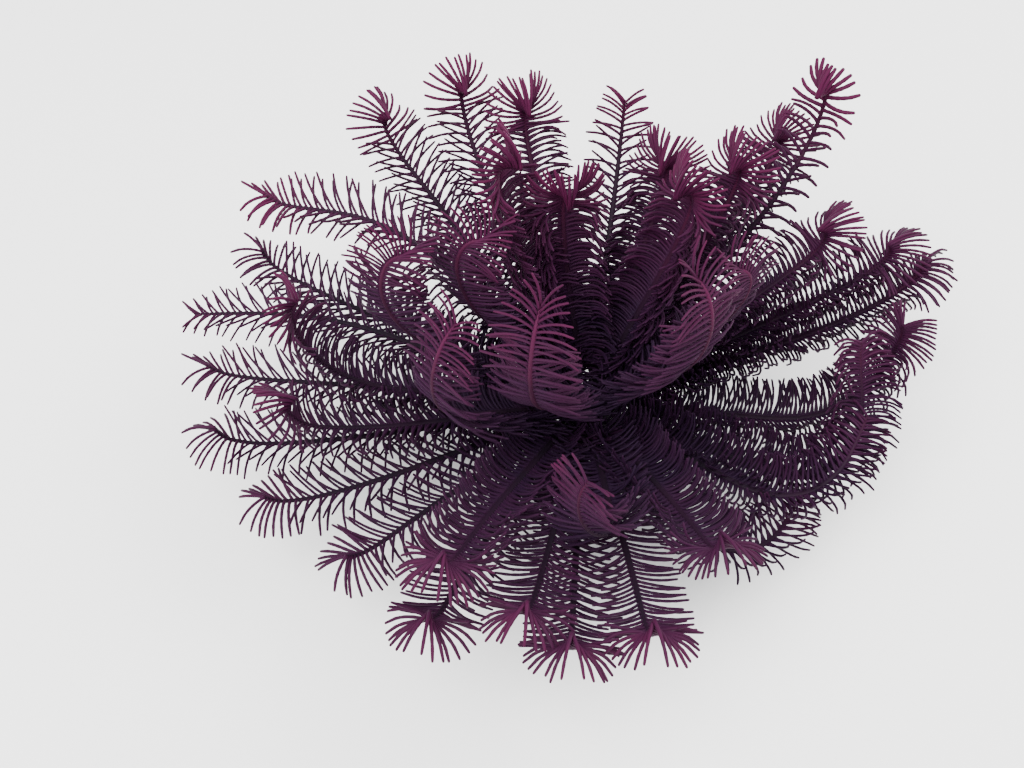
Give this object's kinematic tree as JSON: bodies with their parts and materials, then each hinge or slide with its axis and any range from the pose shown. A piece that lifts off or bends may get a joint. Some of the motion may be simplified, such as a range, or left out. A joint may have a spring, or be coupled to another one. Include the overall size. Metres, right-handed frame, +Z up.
{
  "type": "black feather star",
  "caption": "Feather star at life size: many plumed arms fan from a small knobbed body that stands on short jointed cirri.",
  "frame": {"origin": "middle of the whole model's footprint, on the floor that the cirri stand on", "axes": "+Z up; +X to the right of the view the model was made from; +Y away from the viewer"},
  "size_m": [0.2848, 0.2244, 0.1367],
  "materials": {
    "arms": "soft, slightly velvety skin, near-black aubergine at the base turning burgundy towards the curled tips",
    "rays": "soft dark skin over small jointed plates, near-black purple",
    "centrodorsal": "matt, finely grained, near-black purple",
    "oral_disc": "soft leathery disc, dark purple",
    "cirri": "smooth jointed cirri, near-black purple with paler claws"
  },
  "bodies": {
    "root": {"centrodorsal": "centrodorsal", "oral_disc": "oral_disc", "ray_front": "rays", "ray_left": "rays", "ray_back_left": "rays", "ray_back_right": "rays", "ray_right": "rays", "cirri_front": "cirri", "cirri_left": "cirri", "cirri_back_left": "cirri", "cirri_back_right": "cirri", "cirri_right": "cirri", "arm_front_1": "arms", "arm_front_2": "arms", "arm_front_3": "arms", "arm_front_4": "arms", "arm_front_5": "arms", "arm_front_6": "arms", "arm_front_7_inner": "arms", "arm_front_7_outer": "arms", "arm_front_8": "arms", "arm_left_1": "arms", "arm_left_2": "arms", "arm_left_3": "arms", "arm_left_4": "arms", "arm_left_5": "arms", "arm_left_6_inner": "arms", "arm_left_6_outer": "arms", "arm_left_7": "arms", "arm_left_8_inner": "arms", "arm_left_8_outer": "arms", "arm_back_left_1": "arms", "arm_back_left_2": "arms", "arm_back_left_3": "arms", "arm_back_left_4": "arms", "arm_back_left_5": "arms", "arm_back_left_6": "arms", "arm_back_left_7": "arms", "arm_back_left_8": "arms", "arm_back_right_1": "arms", "arm_back_right_2": "arms", "arm_back_right_3": "arms", "arm_back_right_4": "arms", "arm_back_right_5_inner": "arms", "arm_back_right_5_outer": "arms", "arm_back_right_6": "arms", "arm_back_right_7": "arms", "arm_back_right_8": "arms", "arm_right_1": "arms", "arm_right_2": "arms", "arm_right_3_inner": "arms", "arm_right_3_outer": "arms", "arm_right_4_inner": "arms", "arm_right_4_outer": "arms", "arm_right_5_inner": "arms", "arm_right_5_outer": "arms", "arm_right_6_inner": "arms", "arm_right_6_outer": "arms", "arm_right_7": "arms", "arm_right_8": "arms"}
  },
  "joints": []
}
